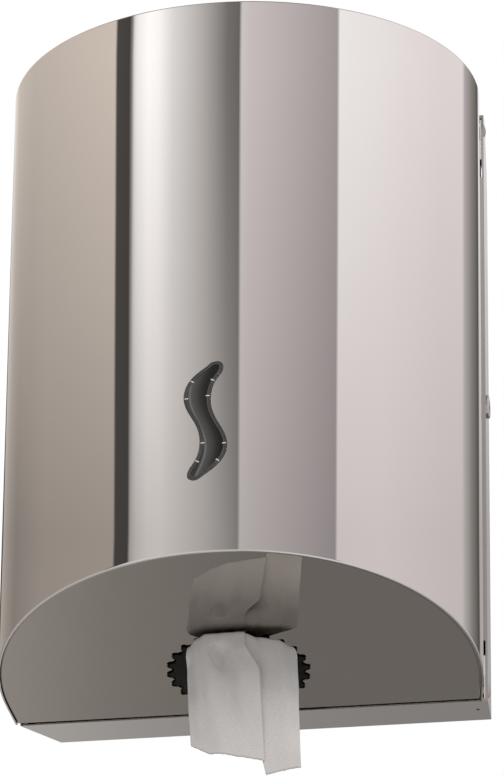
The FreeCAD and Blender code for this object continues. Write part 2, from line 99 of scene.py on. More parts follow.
def colourBetween(tree, source, output, low, high):
    node = addNode(tree, "ShaderNodeMix", {"data_type": "RGBA"})
    node.inputs["A"].default_value = (*low, 1.0)
    node.inputs["B"].default_value = (*high, 1.0)
    link(tree, source, output, node, "Factor")
    return node


def combine(tree, operation, first, second):
    node = addNode(tree, "ShaderNodeMath", {"operation": operation})
    for socket, source in enumerate((first, second)):
        if isinstance(source, float):
            node.inputs[socket].default_value = source
        else:
            tree.links.new(source, node.inputs[socket])
    return node.outputs[0]


# finishes

middleOfNoise = (0.3, 0.7)     # where most of a noise's values lie

steel = {
    "patchScale": 35.0,        # of the two colours, per metre
    "waveScale": 9.0,          # slow waves in the sheet, per metre
    "grainHeight": 0.0000004,
    "mirrorSteel": {"colour": (0.735, 0.715, 0.70), "duller": (0.715, 0.695, 0.68),
                    "rough": (0.008, 0.016), "grain": (900.0, 900.0, 14.0), "waveHeight": 0.00002},
    "plateSteel": {"colour": (0.40, 0.374, 0.342), "duller": (0.38, 0.3553, 0.3249),
                   "rough": (0.02, 0.035), "grain": (14.0, 900.0, 900.0), "waveHeight": 0.00002},
    "satinSteel": {"colour": (0.67, 0.655, 0.64), "duller": (0.6432, 0.6288, 0.6144),
                   "rough": (0.10, 0.15), "grain": (700.0, 700.0, 9.0), "waveHeight": 0.00001},
    "millSteel": {"colour": (0.735, 0.715, 0.70), "duller": (0.715, 0.695, 0.68),
                  "rough": (0.28, 0.42), "grain": (60.0, 700.0, 700.0), "waveHeight": 0.00001},
}


def makeSteel(name):
    look = steel[name]
    material, tree, shader = startMaterial(name)
    shader.inputs["Metallic"].default_value = 1.0
    around = objectSpace(tree)
    patches = noise(tree, around, steel["patchScale"], 4.0, 0.6)
    tint = colourBetween(tree, patches, "Fac", look["duller"], look["colour"])
    link(tree, tint, "Result", shader, "Base Color")
    lines = noise(tree, objectSpace(tree, look["grain"]), 1.0, 3.0, 0.6)
    roughness = spread(tree, lines, "Fac", *look["rough"], *middleOfNoise)
    link(tree, roughness, "Result", shader, "Roughness")
    wave = noise(tree, around, steel["waveScale"], 1.0)
    slow = bump(tree, shader, wave, "Fac", look["waveHeight"])
    bump(tree, shader, lines, "Fac", steel["grainHeight"], 1.0, slow)
    return material


plastics = {
    "patchScale": 120.0,
    "patchDarker": 0.8,
    "blackPlastic": {"colour": (0.0045, 0.0038, 0.0034), "rough": (0.34, 0.46), "shine": 0.09,
                     "grain": 2600.0, "height": 0.00001},
    "greyPlastic": {"colour": (0.23, 0.235, 0.24), "rough": (0.38, 0.5), "shine": 0.5,
                    "grain": 1800.0, "height": 0.00002},
    "whitePlastic": {"colour": (0.74, 0.735, 0.72), "rough": (0.3, 0.42), "shine": 0.5,
                     "grain": 1800.0, "height": 0.00001},
}


def darkened(colour, share):
    return tuple(share * part for part in colour)


def mouldedPlastic(name):
    look = plastics[name]
    material, tree, shader = startMaterial(name)
    shader.inputs["Specular IOR Level"].default_value = look["shine"]
    space = objectSpace(tree)
    patches = noise(tree, space, plastics["patchScale"], 3.0)
    darker = darkened(look["colour"], plastics["patchDarker"])
    tint = colourBetween(tree, patches, "Fac", darker, look["colour"])
    link(tree, tint, "Result", shader, "Base Color")
    grain = noise(tree, space, look["grain"], 3.0)
    roughness = spread(tree, grain, "Fac", *look["rough"], *middleOfNoise)
    link(tree, roughness, "Result", shader, "Roughness")
    bump(tree, shader, grain, "Fac", look["height"])
    return material


smallMetals = {
    "pitScale": 900.0,
    "pitDarker": 0.8,
    "pitHeight": 0.000004,
    "lockNickel": {"colour": (0.66, 0.65, 0.63), "rough": (0.07, 0.13)},
    # painted shade: the lock plug's metal is near black to give the lock's dark middle
    "plugPaintedShadeMetal": {"colour": (0.10, 0.10, 0.098), "rough": (0.084, 0.156)},
    "rivetMetal": {"colour": (0.62, 0.55, 0.48), "rough": (0.238, 0.442)},
}


def pittedMetal(name):
    look = smallMetals[name]
    material, tree, shader = startMaterial(name)
    shader.inputs["Metallic"].default_value = 1.0
    pits = noise(tree, objectSpace(tree), smallMetals["pitScale"], 4.0, 0.6)
    darker = darkened(look["colour"], smallMetals["pitDarker"])
    tint = colourBetween(tree, pits, "Fac", darker, look["colour"])
    link(tree, tint, "Result", shader, "Base Color")
    roughness = spread(tree, pits, "Fac", *look["rough"], *middleOfNoise)
    link(tree, roughness, "Result", shader, "Roughness")
    bump(tree, shader, pits, "Fac", smallMetals["pitHeight"])
    return material


clearPlastics = {
    "index": 1.49,             # of refraction
    "cloudScale": 160.0,
    "cloudDarker": 0.92,
    "hazeScale": 700.0,
    "clearRim": {"tint": (0.11, 0.107, 0.104), "through": 0.5, "rough": (0.06, 0.12)},
    "clearNibs": {"tint": (0.82, 0.82, 0.81), "through": 0.25, "rough": (0.12, 0.25)},
}


def clearPlastic(name):
    look = clearPlastics[name]
    material, tree, shader = startMaterial(name)
    shader.inputs["Transmission Weight"].default_value = look["through"]
    shader.inputs["IOR"].default_value = clearPlastics["index"]
    space = objectSpace(tree)
    cloud = noise(tree, space, clearPlastics["cloudScale"], 2.0)
    darker = darkened(look["tint"], clearPlastics["cloudDarker"])
    mixed = colourBetween(tree, cloud, "Fac", darker, look["tint"])
    link(tree, mixed, "Result", shader, "Base Color")
    haze = noise(tree, space, clearPlastics["hazeScale"], 3.0)
    roughness = spread(tree, haze, "Fac", *look["rough"], *middleOfNoise)
    link(tree, roughness, "Result", shader, "Roughness")
    return material


smokedLens = {
    "middle": (-0.0035, -0.100),   # x and z
    "sway": 0.0041,            # of its middle line, to each side
    "swayLength": 0.061,
    "halfWidth": 0.0049,
    "paintedLightAcross": [(0.0, 0.020), (0.07, 0.075), (0.13, 0.13), (0.19, 0.062), (0.45, 0.036), (0.68, 0.013),
              (0.9, 0.004)],   # painted light and shade from its left edge to its right: a painted highlight streak and painted glow of the paper roll near the left, painted shade towards the right
    "tint": (1.0, 0.965, 0.95),
    "shine": 0.45,
    "hazeScale": 1500.0,
    "rough": (0.10, 0.16),
}


def acrossLens(tree, space):
    parts = addNode(tree, "ShaderNodeSeparateXYZ")
    link(tree, space, "Vector", parts, 0)
    middleX, middleZ = smokedLens["middle"]
    fromMiddle = combine(tree, "SUBTRACT", parts.outputs["Z"], middleZ)
    turn = combine(tree, "MULTIPLY", fromMiddle, 2.0 * math.pi / smokedLens["swayLength"])
    sway = combine(tree, "MULTIPLY", combine(tree, "SINE", turn, 0.0), smokedLens["sway"])
    across = combine(tree, "ADD", combine(tree, "SUBTRACT", parts.outputs["X"], middleX), sway)
    place = addNode(tree, "ShaderNodeMapRange", None,
                    {"From Min": -smokedLens["halfWidth"], "From Max": smokedLens["halfWidth"]})
    tree.links.new(across, place.inputs["Value"])
    return place


def smokedPlastic():
    material, tree, shader = startMaterial("smokedLens")
    shader.inputs["Specular IOR Level"].default_value = smokedLens["shine"]
    space = objectSpace(tree)
    # painted light and shade: the lens colour runs from a lighter band near its left edge to near black on
    # its right
    paintedLightAcross = addNode(tree, "ShaderNodeValToRGB")
    points = paintedLightAcross.color_ramp.elements
    points[0].position = 0.0
    points[1].position = smokedLens["paintedLightAcross"][-1][0]
    for position, level in smokedLens["paintedLightAcross"][1:-1]:
        points.new(position)
    for point, (position, level) in zip(points, smokedLens["paintedLightAcross"]):
        point.color = (*darkened(smokedLens["tint"], level), 1.0)
    link(tree, acrossLens(tree, space), "Result", paintedLightAcross, "Fac")
    link(tree, paintedLightAcross, "Color", shader, "Base Color")
    haze = noise(tree, space, smokedLens["hazeScale"], 2.0)
    roughness = spread(tree, haze, "Fac", *smokedLens["rough"], *middleOfNoise)
    link(tree, roughness, "Result", shader, "Roughness")
    return material


tissue = {
    "colour": (0.62, 0.592, 0.575),
    "shade": (0.57, 0.545, 0.53),
    "rough": 0.92,
    "shine": 0.2,
    "fibreScale": 1400.0,
    "fibreHeight": 0.00004,
    # painted shade: the share by which the embossed dots are darkened
    "pitDarker": 0.965,
    "pitch": (0.00118, 0.0031),    # between embossed rows, and between the dots of a row
    "slant": -24.0,
    "wobble": 2.2,                 # of the rows
    "dotBase": 0.55,               # what is left of a row between its dots
    "embossDepth": 0.00009,
}

woundRoll = {
    "centreY": -0.0925,
    "webPitch": 0.0009,            # of the wound layers that show on the roll's end
    "webWobble": 2.5,
    "webHeight": 0.00015,
    "fibreHeight": 0.00006,
}


def waves(tree, space, settings, pitch, values):
    node = addNode(tree, "ShaderNodeTexWave", settings, {"Scale": 2.0 * math.pi / (20.0 * pitch), **values})
    link(tree, space, 0, node, "Vector")
    return node


def startPaper(name):
    material, tree, shader = startMaterial(name)
    shader.inputs["Roughness"].default_value = tissue["rough"]
    shader.inputs["Specular IOR Level"].default_value = tissue["shine"]
    fibre = noise(tree, objectSpace(tree), tissue["fibreScale"], 4.0, 0.7)
    return material, tree, shader, fibre


def tissuePaper():
    material, tree, shader, fibre = startPaper("tissue")
    cut = addNode(tree, "ShaderNodeUVMap", {"uv_map": "cut"})
    slant = math.radians(tissue["slant"])
    rows = []
    for pitch, turn in zip(tissue["pitch"], (slant - math.pi / 2.0, slant)):
        turned = addNode(tree, "ShaderNodeMapping", None, {"Rotation": (0.0, 0.0, turn)})
        link(tree, cut, "UV", turned, "Vector")
        rows.append(waves(tree, turned, {"wave_type": "BANDS", "bands_direction": "X"}, pitch,
                          {"Distortion": tissue["wobble"], "Detail": 1.0, "Detail Scale": 2.0}))
    alongRow = spread(tree, rows[1], "Fac", tissue["dotBase"], 1.0)
    dots = addNode(tree, "ShaderNodeMath", {"operation": "MULTIPLY"})
    link(tree, rows[0], "Fac", dots, 0)
    link(tree, alongRow, "Result", dots, 1)
    tint = colourBetween(tree, fibre, "Fac", tissue["shade"], tissue["colour"])
    # painted shade in the embossed dots: the paper's tint is darkened where the dots press in
    pits = addNode(tree, "ShaderNodeMix", {"data_type": "RGBA", "blend_type": "MULTIPLY"})
    pits.inputs["B"].default_value = (*[tissue["pitDarker"]] * 3, 1.0)
    link(tree, dots, 0, pits, "Factor")
    link(tree, tint, "Result", pits, "A")
    link(tree, pits, "Result", shader, "Base Color")
    grain = bump(tree, shader, fibre, "Fac", tissue["fibreHeight"])
    bump(tree, shader, dots, 0, -tissue["embossDepth"], 1.0, grain)
    return material


def rollPaper():
    material, tree, shader, fibre = startPaper("rollPaper")
    centred = objectSpace(tree, (1.0, 1.0, 1.0), (0.0, -woundRoll["centreY"], 0.0))
    wound = waves(tree, centred, {"wave_type": "RINGS", "rings_direction": "Z"}, woundRoll["webPitch"],
                  {"Distortion": woundRoll["webWobble"], "Detail": 2.0, "Detail Scale": 0.02})
    tint = colourBetween(tree, wound, "Fac", tissue["shade"], tissue["colour"])
    link(tree, tint, "Result", shader, "Base Color")
    grain = bump(tree, shader, fibre, "Fac", woundRoll["fibreHeight"])
    bump(tree, shader, wound, "Fac", woundRoll["webHeight"], 0.7, grain)
    return material


steelMirror = makeSteel("mirrorSteel")
steelPlate = makeSteel("plateSteel")
steelSatin = makeSteel("satinSteel")
steelMill = makeSteel("millSteel")
lockNickel = pittedMetal("lockNickel")
plugPaintedShade = pittedMetal("plugPaintedShadeMetal")
rivetDull = pittedMetal("rivetMetal")
blackMoulding = mouldedPlastic("blackPlastic")
greyMoulding = mouldedPlastic("greyPlastic")
whiteMoulding = mouldedPlastic("whitePlastic")
rimClear = clearPlastic("clearRim")
nibClear = clearPlastic("clearNibs")
lensSmoked = smokedPlastic()
tissueWhite = tissuePaper()
tissueRoll = rollPaper()
print("finishes made")

finishOf = {
    "wall_tray": steelSatin, "cover_wrap": steelMirror, "cover_bottom_plate": steelPlate,
    "cover_top_plate": steelMirror, "window_bezel": rimClear, "window_lens": lensSmoked,
    "window_clips": rimClear, "hinge_rivets": steelMill, "edge_guide_lower": whiteMoulding,
    "edge_guide_upper": whiteMoulding, "guide_rivets": rivetDull, "lock_body": lockNickel,
    "lock_nut": lockNickel, "lock_plug": plugPaintedShade, "lock_cam": steelMill,
    "lock_cam_screw": steelMill, "keeper_bracket": steelMill, "nozzle_seat": greyMoulding,
    "nozzle_ring": blackMoulding, "nozzle_insert": blackMoulding, "roll_tray": greyMoulding,
    "paper_roll": tissueRoll, "paper_tail": tissueWhite,
    "hinge_tray_leaf_lower": steelMill, "hinge_tray_leaf_upper": steelMill,
    "hinge_cover_leaf_lower": steelMill, "hinge_cover_leaf_upper": steelMill,
    "hinge_pin_lower": steelMill, "hinge_pin_upper": steelMill,
}
for name, piece in nodes.items():
    piece.data.materials.clear()
    piece.data.materials.append(finishOf[name])


# bent sheets with rounded edges

bentSheets = {
    "skinRadius": 0.1195,
    "skinThickness": 0.001,
    "skinCentreY": -0.0505,
    "roundTurn": 97.0,         # degrees to each side of the front
    "topRearZ": 0.179,
    "topRearY": -0.0188,
    "topSlope": math.tan(math.radians(10.6)),
    "bottomZ": -0.175,
    "endPlateStep": 0.0005,
    "nozzleCentreY": -0.0585,
    "nozzleReach": 0.033,      # the bottom plate's hole and its edge lie inside it
    "wrapEdge": 0.0009,
    "wrapSteps": 5,
    "plateBend": 0.0013,
    "plateSteps": 4,
    "sharpFrom": 50.0,         # an edge that turns further gets rounded
    "flatUpTo": 0.05,
    "smoothUpTo": 38.0,
}
merging = 0.000001             # corners nearer than this are one
touching = 0.00002             # a corner nearer than this lies on a face


def outFromAxis(at):
    return Vector((at.x, at.y - bentSheets["skinCentreY"], 0.0)).normalized()


def skinReach(at):
    out = Vector((at.x, at.y - bentSheets["skinCentreY"]))
    turn = math.radians(bentSheets["roundTurn"])
    if abs(math.atan2(out.x, -out.y)) <= turn:
        return out.length
    return abs(out.x) * math.sin(turn) - out.y * math.cos(turn)


def topHeight(y):
    return bentSheets["topRearZ"] + bentSheets["topSlope"] * (y - bentSheets["topRearY"])


def mergedCopy(name, ending):
    bpy.ops.object.select_all(action="DESELECT")
    data = nodes[name].data.copy()
    data.name = name + ending
    piece = bpy.data.objects.new(name + ending, data)
    bpy.context.scene.collection.objects.link(piece)
    bpy.context.view_layer.objects.active = piece
    piece.select_set(True)
    bpy.ops.mesh.customdata_custom_splitnormals_clear()
    bpy.ops.object.mode_set(mode="EDIT")
    bpy.ops.mesh.select_all(action="SELECT")
    bpy.ops.mesh.remove_doubles(threshold=merging)
    bpy.ops.object.mode_set(mode="OBJECT")
    return piece


def bevelEdges(piece, chosen, width, steps):
    bpy.ops.object.mode_set(mode="EDIT")
    bpy.ops.mesh.select_mode(type="EDGE")
    bpy.ops.mesh.select_all(action="DESELECT")
    mesh = bmesh.from_edit_mesh(piece.data)
    sharp = math.radians(bentSheets["sharpFrom"])
    for edge in mesh.edges:
        if len(edge.link_faces) == 2 and edge.calc_face_angle() > sharp:
            if all(chosen(vert.co) for vert in edge.verts):
                edge.select_set(True)
    bmesh.update_edit_mesh(piece.data)
    bpy.ops.mesh.bevel(offset=width, segments=steps, affect="EDGES", clamp_overlap=False)
    bpy.ops.object.mode_set(mode="OBJECT")


def mergeFlats(piece):
    bpy.ops.object.mode_set(mode="EDIT")
    bpy.ops.mesh.select_all(action="SELECT")
    bpy.ops.mesh.dissolve_limited(angle_limit=math.radians(bentSheets["flatUpTo"]))
    bpy.ops.object.mode_set(mode="OBJECT")


def smoothUpTo(degrees):
    bpy.ops.object.shade_smooth_by_angle(angle=math.radians(degrees))


def weighNormals(piece):
    smoothUpTo(bentSheets["smoothUpTo"])
    weigh = piece.modifiers.new("weigh", "WEIGHTED_NORMAL")
    weigh.keep_sharp = True
    weigh.weight = 100
    bpy.ops.object.modifier_apply(modifier=weigh.name)


def skinNormals(piece):
    data = piece.data
    outside = bentSheets["skinRadius"]
    inside = outside - bentSheets["skinThickness"]
    limit = math.radians(bentSheets["roundTurn"] + 0.1)
    normals = [corner.vector.copy() for corner in data.corner_normals]
    for face in data.polygons:
        for k in face.loop_indices:
            point = data.vertices[data.loops[k].vertex_index].co
            out = Vector((point.x, point.y - bentSheets["skinCentreY"], 0.0))
            if abs(math.atan2(out.x, -out.y)) > limit:
                continue
            reach = out.length
            out.normalize()
            if abs(reach - outside) < touching and face.normal.dot(out) > 0.8:
                normals[k] = out
            if abs(reach - inside) < touching and face.normal.dot(out) < -0.8:
                normals[k] = -out
    data.normals_split_custom_set(normals)


def onWrapRim(at):
    if skinReach(at) < bentSheets["skinRadius"] - bentSheets["skinThickness"] / 2.0:
        return False
    return abs(at.z - bentSheets["bottomZ"]) < touching or abs(at.z - topHeight(at.y)) < touching


def makeWrap():
    piece = mergedCopy("cover_wrap", "_rounded")
    mergeFlats(piece)
    bevelEdges(piece, onWrapRim, bentSheets["wrapEdge"], bentSheets["wrapSteps"])
    smoothUpTo(bentSheets["smoothUpTo"])
    skinNormals(piece)
    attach(piece, "cover")
    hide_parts("cover_wrap")


def makeEndPlate(name, chosen):
    piece = mergedCopy(name, "_bent")
    mergeFlats(piece)
    bevelEdges(piece, chosen, bentSheets["plateBend"], bentSheets["plateSteps"])
    weighNormals(piece)
    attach(piece, "cover")
    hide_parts(name)


def onBottomBend(at):
    if math.hypot(at.x, at.y - bentSheets["nozzleCentreY"]) <= bentSheets["nozzleReach"]:
        return False
    return abs(at.z - bentSheets["bottomZ"] - bentSheets["endPlateStep"]) < touching


def onTopBend(at):
    return abs(at.z - topHeight(at.y) + bentSheets["endPlateStep"]) < touching


makeWrap()
makeEndPlate("cover_bottom_plate", onBottomBend)
makeEndPlate("cover_top_plate", onTopBend)
print("bent sheets made")


# window rim with a groove round it, and eight nibs that hold the lens

windowRim = {
    "face": 0.1200,            # from the axis of the round front
    "profile": [(0.0001, -0.00005), (0.00028, 0.0), (0.00044, -0.00008), (0.00058, -0.0004),
                (0.00095, -0.0004), (0.0011, -0.0001), (0.00126, 0.0)],    # inwards, and out from the face
    "outerDrop": 0.0002,       # how far the face's outer and inner edges lie back from it
    "innerDrop": 0.0001,
    "smoothUpTo": 50.0,
    "middle": (-0.0035, -0.100),   # x and z
}

lensNibs = {
    "places": [(0.0034, 0.0232), (0.0012, 0.0135), (0.00905, -0.0134), (0.0056, -0.0224)],
    "size": (0.0019, 0.0006, 0.0005),    # across the rim, along it, and outwards
    "inwards": 0.00135,
    "edge": 0.00012,
    "smoothUpTo": 40.0,
}


def keepBehindFace(piece):
    for vert in piece.data.vertices:
        proud = skinReach(vert.co) - windowRim["face"]
        if proud > 0.0:
            vert.co -= outFromAxis(vert.co) * proud


def openLoops(mesh):
    left = dict.fromkeys(edge for edge in mesh.edges if edge.is_boundary)    # in the mesh's own order
    loops = []
    while left:
        edge = next(iter(left))
        del left[edge]
        loop = [edge.verts[0], edge.verts[1]]
        while loop[-1] is not loop[0]:
            following = next(e for e in loop[-1].link_edges if e in left)
            del left[following]
            loop.append(following.other_vert(loop[-1]))
        loops.append(loop[:-1])
    return sorted(loops, key=lambda loop: sum((b.co - a.co).length for a, b in zip(loop, loop[1:])))


def roundPairs(loop):
    return zip(loop, loop[1:] + loop[:1])


def rimStarts(outer):
    middleX, middleZ = windowRim["middle"]
    turned = sum((a.co.x - middleX) * (b.co.z - middleZ) - (b.co.x - middleX) * (a.co.z - middleZ)
                 for a, b in roundPairs(outer))
    side = -1.0 if turned > 0.0 else 1.0
    starts = []                # place, inwards, out
    for i, vert in enumerate(outer):
        along = (outer[(i + 2) % len(outer)].co - outer[i - 2].co).normalized()
        out = outFromAxis(vert.co)
        starts.append((vert.co.copy(), along.cross(out).normalized() * side, out))
    return starts


def makeWindowRim():
    piece = mergedCopy("window_bezel", "_grooved")
    mesh = bmesh.new()
    mesh.from_mesh(piece.data)
    front = [part for part in mesh.faces
             if all(abs(skinReach(vert.co) - windowRim["face"]) < touching for vert in part.verts)]
    bmesh.ops.delete(mesh, geom=front, context="FACES")
    inner, outer = openLoops(mesh)
    starts = rimStarts(outer)
    for vert, (at, inwards, out) in zip(outer, starts):
        vert.co = at - out * windowRim["outerDrop"]
    for vert in inner:
        vert.co -= outFromAxis(vert.co) * windowRim["innerDrop"]
    ring = outer
    for reach, height in windowRim["profile"]:
        following = [mesh.verts.new(at + inwards * reach + out * height) for at, inwards, out in starts]
        for (a, b), (c, d) in zip(roundPairs(ring), roundPairs(following)):
            mesh.faces.new((a, b, d, c))
        ring = following
    edges = [mesh.edges.get(pair) for loop in (ring, inner) for pair in roundPairs(loop)]
    bmesh.ops.bridge_loops(mesh, edges=edges)
    bmesh.ops.recalc_face_normals(mesh, faces=mesh.faces)
    mesh.to_mesh(piece.data)
    mesh.free()
    keepBehindFace(piece)
    smoothUpTo(windowRim["smoothUpTo"])
    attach(piece, "cover")
    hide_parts("window_bezel")
    return starts


def makeNib(at, inwards, out):
    across, wide, high = lensNibs["size"]
    bpy.ops.object.select_all(action="DESELECT")
    bpy.ops.mesh.primitive_cube_add(size=1.0)
    nib = bpy.context.object
    nib.data.transform(Matrix.Diagonal((across, wide, high, 1.0)))
    bpy.ops.object.mode_set(mode="EDIT")
    bpy.ops.mesh.select_all(action="SELECT")
    bpy.ops.mesh.bevel(offset=lensNibs["edge"], segments=2, affect="EDGES")
    bpy.ops.object.mode_set(mode="OBJECT")
    turn = Matrix((inwards, out.cross(inwards), out)).transposed().to_4x4()
    centre = at + inwards * lensNibs["inwards"] - out * (high / 2.0)
    nib.data.transform(Matrix.Translation(centre) @ turn)
    return nib


def makeNibs(starts):
    middleX, middleZ = windowRim["middle"]
    made = []
    for x, z in lensNibs["places"]:
        for side in (1.0, -1.0):
            spotX, spotZ = middleX + side * x, middleZ + side * z
            made.append(makeNib(*min(starts, key=lambda s: math.hypot(s[0].x - spotX, s[0].z - spotZ))))
    bpy.ops.object.select_all(action="DESELECT")
    for nib in made:
        nib.select_set(True)
    bpy.context.view_layer.objects.active = made[0]
    bpy.ops.object.join()
    piece = bpy.context.object
    piece.name = "window_nibs"
    piece.data.name = "window_nibs"
    keepBehindFace(piece)
    smoothUpTo(lensNibs["smoothUpTo"])
    piece.data.materials.append(nibClear)
    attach(piece, "cover")


makeNibs(makeWindowRim())
print("window rim made")


# nozzle ring, its toothed edge eased towards the plate

nozzleRing = {
    "easedFrom": 0.031,        # from the ring's middle
    "faceZ": -0.1757,          # the teeth's face is below this
    "wallZ": -0.1745,          # and their wall reaches up to this
    "eased": 0.00065,
    "taper": 0.0004,
    "smoothUpTo": 35.0,
}


def makeNozzleRing():
    piece = mergedCopy("nozzle_ring", "_eased")
    for vert in piece.data.vertices:
        out = Vector((vert.co.x, vert.co.y - bentSheets["nozzleCentreY"], 0.0))
        if out.length < nozzleRing["easedFrom"]:
            continue
        if vert.co.z < nozzleRing["faceZ"]:
            vert.co.z += nozzleRing["eased"]
        elif vert.co.z < nozzleRing["wallZ"]:
            vert.co -= out.normalized() * nozzleRing["taper"]
    smoothUpTo(nozzleRing["smoothUpTo"])
    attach(piece, "nozzle")
    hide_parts("nozzle_ring")


makeNozzleRing()
print("nozzle ring made")


# paper tail: one sheet of the roll's own width, gathered through the nozzle and torn off below

paperTail = {
    "thickness": 0.0003,
    "rows": 120,
    "columnStep": 1.0,         # this and every length below in millimetres
    "foldColumns": 4,          # round each fold
    "foldStep": 0.35,
    "lineSteps": 12,           # to each span of the line
    "line": [                  # y and z, from the roll's core through the nozzle and over its lip
        (-72.4, -119.0), (-72.4, -140.0), (-72.5, -158.0), (-72.9, -169.0), (-74.6, -174.0),
        (-79.0, -176.1), (-86.0, -176.3), (-92.0, -176.2), (-95.4, -175.8), (-97.2, -176.3),
        (-97.4, -178.4), (-95.6, -185.0), (-90.6, -195.5), (-83.8, -207.5), (-77.0, -218.5),
        (-71.0, -229.0), (-67.4, -236.0), (-65.0, -241.0)],
    "mouth": 175.4,            # how low it leaves the nozzle
    "lip": 182.0,              # and hangs free
    "cutEnd": 231.0,           # how low the flat sheet would reach
    "middle": 4.2,             # x of its middle
    "layers": [(10.3, -26.0), (-26.0, 27.5), (27.5, -24.5), (-24.5, 22.0)],    # edge to edge, front to back
    "torn": [                  # place across and z of each layer's torn edge
        [(-26.0, -222.6), (-17.0, -227.8), (10.3, -233.0)],
        [(-26.0, -222.6), (-10.0, -226.5), (8.8, -229.5), (10.4, -239.0), (27.5, -236.6)],
        [(-24.5, -221.5), (-10.0, -226.5), (10.0, -231.0), (27.5, -236.6)],
        [(-24.5, -221.5), (22.0, -229.0)]],
    "tornRough": (0.35, 0.9),  # height, and how often
    "opens": (-2.0, -1.0),     # from before the mouth to before the lip
    "neckWidth": 0.36,         # share of the whole
    "neckGap": 0.8,            # between layers, before the mouth
    "neckPleats": (9.0, 0.9),  # pitch and half depth
    "pleats": {"depth": 2.3, "pitch": 16.0, "shift": 5.5},
    "crease": {"start": -19.5, "drift": 8.5, "below": 8.0, "over": 36.0, "depth": 0.26},
    "frontLayer": {"edge": -26.0, "width": 36.0, "lean": 6.3, "proud": 1.2, "proudFrom": 0.75},
    "flare": 0.0004,
    "sag": 0.3,
    "wrinkles": 0.75,
    "broad": {"across": 0.085, "down": 0.045, "seed": 1.7, "share": 1.6},
    "fine": {"across": 0.3, "down": 0.16, "seed": 8.2, "share": 0.3, "layerSeed": 0.5},
    "side": {                  # by place across
        "pleated": [(-14.5, 0.0), (-12.5, 1.0), (1.5, 1.0), (3.5, 0.0)],
        "back": [(-26.0, 8.5), (-20.0, 3.2), (-14.5, 0.3), (3.0, 0.0)],
        "backBehind": [(3.0, 0.0), (10.0, 3.5), (20.0, 6.0), (27.5, 11.5)],
        "tuck": [(-26.0, 4.5), (-20.5, 0.0)]},
    "down": {                  # by the way past the lip
        "gap": [(0.0, 0.5), (18.0, 0.9), (50.0, 0.6)],
        "pleated": [(-2.0, 0.0), (4.0, 1.0), (22.0, 0.55), (46.0, 0.1)],
        "back": [(-1.0, 1.0), (14.0, 0.8), (34.0, 0.35), (56.0, 0.05)],
        "tuck": [(-2.0, 0.0), (3.0, 1.0), (24.0, 0.0)],
        "crease": [(4.0, 0.0), (18.0, 1.0)],
        "loose": [(0.0, 0.0), (12.0, 1.0)],
        "lean": [(0.0, 1.0), (15.0, 0.0)],
        "sag": [(0.0, 1.0), (34.0, 0.1)]},
}


def between(pairs, value, smooth=False):
    if value <= pairs[0][0]:
        return pairs[0][1]
    for (low, first), (high, second) in zip(pairs, pairs[1:]):
        if value <= high:
            part = (value - low) / (high - low)
            if smooth:
                part = part * part * (3.0 - 2.0 * part)
            return first + (second - first) * part
    return pairs[-1][1]


def roundedLine(points, steps):
    ends = [points[0]] + points + [points[-1]]
    line = []
    for four in zip(ends, ends[1:], ends[2:], ends[3:]):
        for i in range(steps):
            t = i / steps
            line.append(tuple(0.5 * (2.0 * b + (c - a) * t + (2.0 * a - 5.0 * b + 4.0 * c - d) * t * t
                                     + (3.0 * b - a - 3.0 * c + d) * t * t * t) for a, b, c, d in zip(*four)))
    line.append(points[-1])
    return line


def tailLine():
    line = roundedLine(paperTail["line"], paperTail["lineSteps"])
    along = [0.0]
    for (y0, z0), (y1, z1) in zip(line, line[1:]):
        along.append(along[-1] + math.hypot(y1 - y0, z1 - z0))
    places = list(zip(along, range(len(line))))
    heights = [(-z, a) for (y, z), a in zip(line, along)]
    return line, places, heights


def tailColumns():
    columns = []               # place across, depth, bulge of the fold, layer
    layers = paperTail["layers"]
    turns = paperTail["foldColumns"] + 1
    for i, (start, end) in enumerate(layers):
        count = round(abs(end - start) / paperTail["columnStep"])
        for k in range(count + 1):
            columns.append((start + (end - start) * k / count, float(i), 0.0, i))
        if i + 1 < len(layers):
            side = 1.0 if end > start else -1.0
            for k in range(1, turns):
                turn = math.pi * k / turns
                columns.append((end, i + (1.0 - math.cos(turn)) / 2.0, side * math.sin(turn) * 0.5, i))
    return columns


def lineAt(line, places, a):       # y and z, and the way square to the line
    place = between(places, a)
    k = min(int(place), len(line) - 2)
    part = place - k
    (y0, z0), (y1, z1) = line[k], line[k + 1]
    step = math.hypot(y1 - y0, z1 - z0)
    return y0 + (y1 - y0) * part, z0 + (z1 - z0) * part, -(z1 - z0) / step, (y1 - y0) / step


def wrinkling(name, across, past, layer):
    look = paperTail[name]
    seed = look["seed"] + look.get("layerSeed", 0.0) * layer
    return look["share"] * spaceNoise.noise(Vector((across * look["across"], past * look["down"], seed)))


